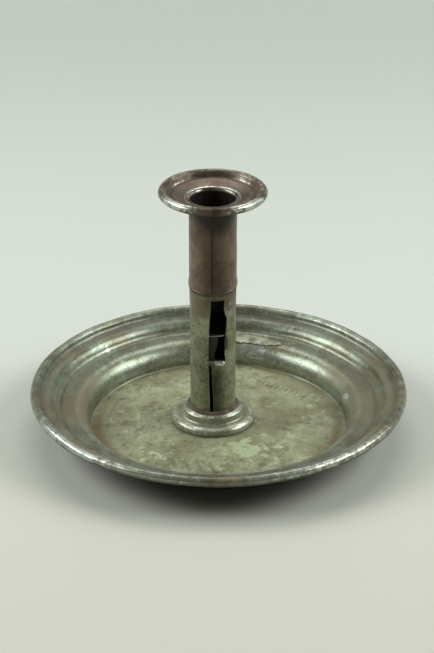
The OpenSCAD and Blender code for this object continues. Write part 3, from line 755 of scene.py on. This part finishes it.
def make_upper_tube():
    """The candle socket: a rolled sheet lapped at the front, belled below and flared at the mouth."""
    zb = BELL_Z + BELL_H
    t = SHEET_TUBE
    bell = SPREAD_R + 0.05
    rows = np.array([
        [BELL_Z, bell + t + 0.06], [BELL_Z + 0.5, bell + t + 0.12], [BELL_Z + 1.4, bell + t + 0.1],
        [BELL_Z + 2.2, bell + t + 0.02], [zb + 0.3, bell + t - 0.08], [zb + 1.3, UPPER_R]])
    body = np.column_stack([np.linspace(zb + 2.3, MOUTH_Z - 0.6, 42), np.full(42, UPPER_R)])
    mouth = np.array([[MOUTH_Z, UPPER_R], [MOUTH_Z + 0.3, UPPER_R + 0.14], [MOUTH_Z + 0.6, UPPER_R + 0.36],
                      [MOUTH_Z + 1.0, UPPER_R + 0.66], [MOUTH_Z + FLARE_H - 0.15, FLARE_R - 0.05]])
    rows = np.vstack([rows, body, mouth])
    inner = rows[:, 1] - t
    inner[:4] = bell
    inner[4] = bell - 0.05
    inner[-1] -= 0.15
    n = len(rows)
    top, low, ang, zz = rolled_tube(rows, t, np.full(n, LAP - 0.35), np.full(n, LAP), 0.0, 150, inner)
    side = (ang + 180) % 360 - 180
    lap = ease(side, LAP - 30, LAP) * (side <= LAP + 0.01) * ease(zz, zb, zb + 2) * (1 - ease(zz, 120, 122.5))
    lap = lap * (0.32 + 0.3 * hump(zz, 86.5, 5))
    wave = 0.06 * lumps(side * 0.2, zz, 16, 51) * ease(zz, zb + 1, zb + 5) * (1 - ease(zz, 117, 121))
    push = np.stack([np.sin(np.radians(ang)), -np.cos(np.radians(ang)), ang * 0], -1)
    top = top + push * (lap + wave)[..., None]
    low = low + push * (wave)[..., None]
    verts, faces = closed_sheet(top, low)
    obj = write_mesh("candle_socket", "stand", lean_flange(verts), faces, "stem_upper_tube")
    x, y, z = verts[:, 0] - STEM[0], verts[:, 1] - STEM[1], verts[:, 2]
    side = np.degrees(np.arctan2(x, -y))
    inside = np.hypot(x, y) < SOCKET_R + 0.1
    # Painted shadow just beside the lap's edge.
    lap_shadow = (side > LAP) * hump(side, LAP, 7)
    mark(obj, "wear_and_highlight", 0.6 * ease(z, 123.2, 123.9) + 0.25 * hump(side, LAP - 1, 1.2) * (z > 84) * (z < 120))
    mark(obj, "rust_and_shade", 0.3 + 0.3 * lumps(side * 0.2, z, 18, 53) + 0.2 * ease(z, 105, 120))
    # Painted shade: the lap's shadow, deepest where the lap stands out most; the inside; the front; and the top, under
    # the flange.
    mark(obj, "grime_and_shade", 0.6 * lap_shadow + 0.9 * lap_shadow * hump(z, 86.5, 5) + 0.95 * inside * (z < 123)
         + 0.6 * hump(side, 8, 66) + 0.85 * ease(z, 106, 121) * (z < 123))
    dress(obj, UPPER)


def make_flange():
    path = flange_path()
    verts, faces = revolve(sheet_outline(path, SHEET_FLANGE), 220, STEM)
    under = under_side(verts, path, 220)
    x, y, z = verts[:, 0] - STEM[0], verts[:, 1] - STEM[1], verts[:, 2]
    r, az = np.hypot(x, y), np.degrees(np.arctan2(y, x))
    obj = write_mesh("drip_tray", "stand", bend_flange(verts), faces, "drip_flange")
    edge = ease(r, 22.6, 23.6) * ease(z, 125.0, 126.4)
    # Painted highlights: crescents inside the rolled edge at back left and back right, the rolled edge at front left
    # and front right with less at its front middle, and a thin line on the ridge; the rest is wear.
    crescents = round_hump(az, 140, 32) + round_hump(az, 42, 32)
    mark(obj, "wear_and_highlight", 0.42 * hump(r, 21.6, 1.4) * crescents * ~under
         + edge * (0.3 + 0.4 * round_hump(az, -135, 34) + 0.36 * round_hump(az, -45, 36)
                              - 0.3 * round_hump(az, -90, 22)) + 0.7 * hump(r, 13.2, 1.3) * ~under
         + 0.15 * hump(r, 19.2, 0.8))
    # The brown at the rolled edge's front middle is painted shade; the rest is rust.
    mark(obj, "rust_and_shade", 0.3 + 0.3 * lumps(x, y, 14, 61) + 0.5 * edge * round_hump(az, -90, 24)
         + 0.3 * hump(r, 17, 4) * round_hump(az, 90, 70))
    # Painted shade: the groove inside the rolled edge, the underside, and the rolled edge's front middle; the mottled
    # dark on the edge is dirt.
    mark(obj, "grime_and_shade", 0.25 * hump(r, 20.8, 0.9) + 0.3 * hump(r, 14.8, 0.7) + 0.6 * under
         + edge * (0.5 * round_hump(az, -90, 22) + 0.45 * ease(lumps(x, y, 5, 62), 0.1, 0.8)))
    dress(obj, FLANGE)
    inner = FLANGE_ROLL - SHEET_FLANGE - 0.08
    verts, faces = revolve(arc(FLANGE_R - FLANGE_ROLL, FLANGE_Z, inner, 180, -180, 20)[:-1], 120, STEM)
    obj = write_mesh("flange_wire", "stand", bend_flange(verts), faces, "drip_flange_wire")
    blank_marks(obj)
    dress(obj, WIRE)


def solder_ring(name, node, inner_r, z0, outline, seed, swing, bend=None):
    """A run of solder: a closed outline, given from inner_r and z0, revolved, its reach from the
    tube swelling and thinning along the ring by up to swing."""
    pts = np.asarray(outline, float) + [inner_r, z0]
    verts, faces = revolve(pts, 144, STEM)
    x, y = verts[:, 0] - STEM[0], verts[:, 1] - STEM[1]
    r = np.hypot(x, y)
    k = 1 + swing * lumps(x, y, 9, seed)
    new = inner_r + (r - inner_r) * k
    q = np.column_stack([STEM[0] + x / r * new, STEM[1] + y / r * new,
                         z0 + (verts[:, 2] - z0) * (1 + 0.6 * (k - 1))])
    obj = write_mesh(name, "stand", q if bend is None else bend(q), faces, node)
    mark(obj, "wear_and_highlight", 0.1 + 0 * r)
    mark(obj, "rust_and_shade", 0.35 + 0.4 * lumps(x, y, 7, seed + 1))
    mark(obj, "grime_and_shade", 0.15 + 0.2 * lumps(x, y, 5, seed + 2))
    dress(obj, SOLDER)


def make_solder():
    top = FOOT_Z + 8.85
    solder_ring("foot_solder_run", "foot_solder", SHANK_R + 0.02, top,
                [[0, 0.75], [0.25, 0.55], [0.6, 0.34], [1.0, 0.1], [1.4, -0.12], [1.6, -0.34], [1.0, -0.14], [0, 0.03]],
                71, 0.1)
    solder_ring("joint_solder_run", "joint_solder", SPREAD_R + 0.02, BELL_Z - 0.05,
                [[0, 0], [0.4, 0], [0.36, -0.35], [0.26, -0.8], [0.12, -1.4], [0, -1.85]][::1], 74, 0.12)
    solder_ring("flange_solder_run", "flange_solder", UPPER_R + 0.02, MOUTH_Z - 0.5,
                [[0, 0], [0.34, -0.02], [0.74, 0.06], [0.6, -0.3], [0.4, -0.62], [0.1, -1.0], [0, -1.1]],
                77, 0.08, lean_flange)


# Patch and ejector
def moulding_z(r):
    """Height of the pan's upper face on the lower moulding and tread at radius r."""
    d = np.clip(FLOOR_R + LOWER_ROUND - r, 0, LOWER_ROUND)
    return SHEET_PAN + STEP_H - LOWER_ROUND + np.sqrt(LOWER_ROUND**2 - d**2)


def make_patch():
    """A ragged sheet draped over the tread and the moulding: azimuth by width, each azimuth from
    its own outer to its own inner edge."""
    az = np.linspace(-10.4, 27.5, 90)
    outer = np.interp(az, [-10.6, -4.5, 2.3, 7.4, 11.4, 15, 20.5, 25.2, 27.7],
                      [1.6, 0.3, 0.26, 0.2, 0.22, 0.54, 1.98, 2.8, 4.2])
    inner = np.interp(az, [-10.6, -9.8, -4.1, 3.3, 8.1, 13.4, 18.2, 20.4, 22.4, 25.1, 27.7],
                      [3.6, 5.9, 7.1, 6.8, 7.2, 6.9, 7.0, 7.3, 6.6, 5.8, 4.8])
    inner = inner + 0.22 * np.sin(az * 2.1) + 0.15 * np.sin(az * 5.3 + 1)
    v = np.linspace(0, 1, 16)
    r = PATCH_R - (outer[:, None] + (inner - outer)[:, None] * v)
    a = np.radians(90 - az)[:, None]
    x, y = r * np.cos(a), r * np.sin(a)
    curl = 0.12 * ease(v, 0.75, 1.0)[None, :] * (1 + lumps(az[:, None], 0 * az[:, None], 9, 83))
    z = moulding_z(r) + 0.42 + curl + 0.05 * (1 + lumps(x, y, 8, 81))
    slope = np.gradient(moulding_z(np.linspace(60, 77, 400)), 17 / 399)
    g = np.interp(r, np.linspace(60, 77, 400), slope)
    nr, nz = -g / np.hypot(g, 1), 1 / np.hypot(g, 1)
    top = bend_pan(np.stack([x, y, z], -1).reshape(-1, 3)).reshape(*x.shape, 3)
    down = 0.36 * np.stack([nr * np.cos(a), nr * np.sin(a), nz], -1)
    verts, faces = closed_sheet(top[::-1], (top - down)[::-1])
    obj = write_mesh("tin_patch", "stand", verts, faces, "repair_patch")
    n = len(verts)
    mark(obj, "wear_and_highlight", np.full(n, 0.15))
    mark(obj, "rust_and_shade", 0.12 + 0.25 * lumps(verts[:, 0], verts[:, 1], 10, 85))
    mark(obj, "grime_and_shade", 0.2 + 0.25 * lumps(verts[:, 0], verts[:, 1], 6, 86))
    dress(obj, PATCH)


def make_ejector():
    """Disc, strip and thumb tab, all in the ejector's lowest place."""
    disc_z, t = 54.2, 0.5
    disc_r = SHANK_R - SHEET_TUBE - 0.26
    path = chain(walk([[0, disc_z - 0.12], [disc_r - 2.0, disc_z - 0.1], [disc_r - 0.25, disc_z]], 0.8))
    verts, faces = revolve(sheet_outline(path, t - 0.1, False), 96, STEM)
    obj = write_mesh("candle_disc", "ejector", verts, faces, "ejector_disc")
    edge = ease(np.hypot(verts[:, 0] - STEM[0], verts[:, 1] - STEM[1]), disc_r - 0.8, disc_r - 0.3)
    mark(obj, "wear_and_highlight", edge)
    mark(obj, "rust_and_shade", 0.1 + 0 * edge)
    mark(obj, "grime_and_shade", 0 * edge)
    dress(obj, EJECTOR)

    tab_top = 38.9 + 0.08 + t
    top_z = disc_z - t
    r_out = SHANK_R - SHEET_TUBE - 0.15
    z = np.r_[np.linspace(tab_top + 0.02, tab_top + 1.1, 4), np.linspace(tab_top + 1.5, top_z - 0.02, 30)]
    right = np.interp(z - tab_top, [0, 1.25, 1.7, 5.8, 7.7, 13.2, 14.2], [5.0, 5.0, 0.4, 0.6, 1.7, 2.4, 2.5])
    left = np.interp(z - tab_top, [0, 1.1, 3.6, 14.2], [-0.3, -0.35, -4.0, -4.6])
    v = np.linspace(0, 1, 12)
    xs = left[:, None] + (right - left)[:, None] * v
    ang = np.arcsin(xs / r_out)

    def wall(rad):
        return np.stack([STEM[0] + rad * np.sin(ang), STEM[1] - rad * np.cos(ang),
                         np.broadcast_to(z[:, None], ang.shape)], -1)

    verts, faces = closed_sheet(wall(r_out)[:, ::-1], wall(r_out - t)[:, ::-1])
    obj = write_mesh("push_strip", "ejector", verts, faces, "ejector_strip")
    n = len(verts)
    mark(obj, "wear_and_highlight", np.zeros(n))
    mark(obj, "rust_and_shade", np.full(n, 0.2))
    # Painted shade: the strip darkened all over, inside the tube.
    mark(obj, "grime_and_shade", np.full(n, 0.85))
    dress(obj, EJECTOR)

    lip_u, curl_r = SPREAD_R + 0.2, 1.4
    uf = lip_u + 2.25 - curl_r
    low = tab_top - t
    path = chain(walk([[8.6, tab_top], [lip_u, tab_top]], 0.4),
                 arc(uf, low + curl_r, curl_r - t, -90, 115, 16))
    nrm = left_of(path)
    under = path - t * nrm
    wide = ease(path[:, 0], lip_u - 0.25, lip_u + 0.35)
    wide = np.maximum.accumulate(wide)
    end = np.linspace(0, 1, len(path))
    x0 = np.where(wide > 0, -0.6 + (-2.6 + 0.6) * wide, -0.6) + 0.25 * ease(end, 0.9, 1.0)
    x1 = 4.9 + (5.6 - 4.9) * wide - 0.35 * ease(end, 0.88, 1.0)
    v = np.linspace(0, 1, 20)
    xs = x0[:, None] + (x1 - x0)[:, None] * v
    sag = 0.12 * np.sin(np.pi * v)[None, :] * ease(end, 0.6, 1.0)[:, None]

    def face(pts):
        return np.stack([STEM[0] + xs, STEM[1] - np.broadcast_to(pts[:, :1], xs.shape),
                         pts[:, 1:] - sag], -1)

    verts, faces = closed_sheet(face(path)[:, ::-1], face(under)[:, ::-1])
    obj = write_mesh("thumb_lip", "ejector", verts, faces, "thumb_tab")
    n = len(verts)
    # Painted highlight on the right of the lip's curled front; painted shade on its left and on the neck inside the
    # slot.
    right = ease(verts[:, 0] - STEM[0], 0.4, 1.8)
    mark(obj, "wear_and_highlight", 0.75 * right * ease(STEM[1] - verts[:, 1], 11.5, 12.5))
    mark(obj, "rust_and_shade", np.full(n, 0.1))
    mark(obj, "grime_and_shade", 0.5 * (1 - ease(STEM[1] - verts[:, 1], 11, 12)) + 0.55 * (1 - right))
    dress(obj, TAB)


# Stage, light and camera
BACKDROP = rgb(197, 203, 193)


def seen(n):
    """1 for rays from the camera, off metal and through glass; 0 for those that light a piece."""
    ray = n.add("ShaderNodeLightPath", None).outputs
    either = n.math("MAXIMUM", ray["Is Camera Ray"], ray["Is Glossy Ray"])
    return n.math("MAXIMUM", either, ray["Is Transmission Ray"])


def make_stage():
    """A pale table that runs into the backdrop's own colour away from the object."""
    half = 3.0
    mesh = bpy.data.meshes.new("table")
    mesh.from_pydata([(-half, -half, 0), (half, -half, 0), (half, half, 0), (-half, half, 0)], [], [(0, 1, 2, 3)])
    obj = bpy.data.objects.new("table", mesh)
    bpy.context.scene.collection.objects.link(obj)
    mat = bpy.data.materials.new("table_paper")
    mat.use_nodes = True
    tree = mat.node_tree
    tree.nodes.clear()
    n = Net(tree)
    split = n.add("ShaderNodeSeparateXYZ", None, Vector=n.add("ShaderNodeTexCoord", 3))
    colour = n.mix(n.band(split.outputs[1], -0.15, 0.1), rgb(206, 205, 192), rgb(205, 208, 199))
    # Painted shade: the table darker towards the back.
    colour = n.mix(n.band(split.outputs[1], 0.12, 0.6), colour, rgb(188, 194, 184))
    shader = n.add("ShaderNodeBsdfPrincipled", None, Roughness=0.9)
    shader.inputs["Specular IOR Level"].default_value = 0.1
    n.feed(shader.inputs["Base Color"], colour)
    x, y = split.outputs[0], split.outputs[1]
    away = n.math("SQRT", n.math("ADD", n.math("MULTIPLY", x, x), n.math("MULTIPLY", y, y)))
    paper = n.add("ShaderNodeEmission", None, Color=BACKDROP, Strength=1.0)
    fade = n.math("MULTIPLY", n.band(away, 0.35, 0.95), seen(n))
    both = n.add("ShaderNodeMixShader", None, i0=fade, i1=shader.outputs[0], i2=paper.outputs[0])
    end = n.add("ShaderNodeOutputMaterial", None)
    tree.links.new(both.outputs[0], end.inputs[0])
    mesh.materials.append(mat)


def make_world():
    """Studio surroundings by direction: a dark room, dimly lit behind and above, and a low band
    of backdrop all round that is seen directly and in metal but lights nothing."""
    world = bpy.data.worlds.new("studio")
    bpy.context.scene.world = world
    world.use_nodes = True
    tree = world.node_tree
    tree.nodes.clear()
    n = Net(tree)
    split = n.add("ShaderNodeSeparateXYZ", None, Vector=n.add("ShaderNodeTexCoord", 0))
    back = n.band(split.outputs[1], 0.05, 0.8)
    high = n.band(split.outputs[2], 0.25, 0.8)
    colour = n.mix(back, rgb(20, 20, 18), rgb(90, 93, 88))
    colour = n.mix(high, colour, rgb(100, 103, 98))
    low = n.math("MULTIPLY", n.band(split.outputs[2], 0.12, 0.26, 1.0, 0.0), seen(n))
    colour = n.mix(low, colour, BACKDROP)
    light = n.add("ShaderNodeBackground", None, Color=colour, Strength=1.0)
    end = n.add("ShaderNodeOutputWorld", None)
    tree.links.new(light.outputs[0], end.inputs[0])


def soft_box(name, place, aim, size, power, tint=(1, 1, 1)):
    """A rectangular studio light at place, turned to aim."""
    lamp = bpy.data.lights.new(name, "AREA")
    lamp.shape, lamp.size, lamp.size_y, lamp.energy, lamp.color = "RECTANGLE", size[0], size[1], power, tint
    obj = bpy.data.objects.new(name, lamp)
    bpy.context.scene.collection.objects.link(obj)
    obj.location = place
    way = np.array(aim, float) - np.array(place, float)
    obj.rotation_euler = (math.acos(-way[2] / np.linalg.norm(way)), 0,
                          math.atan2(way[1], way[0]) - math.pi / 2)
    return obj


def make_lights():
    """A large soft box on each side and one behind, overhead."""
    for name, side in (("left_box", -1), ("right_box", 1)):
        soft_box(name, (1.05 * side, 0.06, 0.82), (0, 0, 0.05), (1.0, 0.65), 13, (0.94, 0.99, 1.0))
    soft_box("top_box", (0, 0.85, 1.35), (0, 0, 0), (1.2, 0.8), 8.5, (1.0, 1.0, 0.98))


def make_camera():
    """The photograph's own view, as fitted to the pan, the flange and the tubes."""
    data = bpy.data.cameras.new("camera")
    data.sensor_width, data.lens = 36.0, 141.31
    data.clip_start, data.clip_end = 0.01, 50
    obj = bpy.data.objects.new("camera", data)
    obj.location = (-0.000693, -1.12989, 0.62560)
    obj.rotation_euler = (math.radians(63.213), 0, 0)
    bpy.context.scene.collection.objects.link(obj)
    bpy.context.scene.camera = obj


bpy.context.scene.view_settings.view_transform = "Standard"
make_pan()
make_collar()
make_lower_tube()
make_upper_tube()
make_flange()
make_solder()
make_patch()
make_ejector()
make_stage()
make_world()
make_lights()
make_camera()
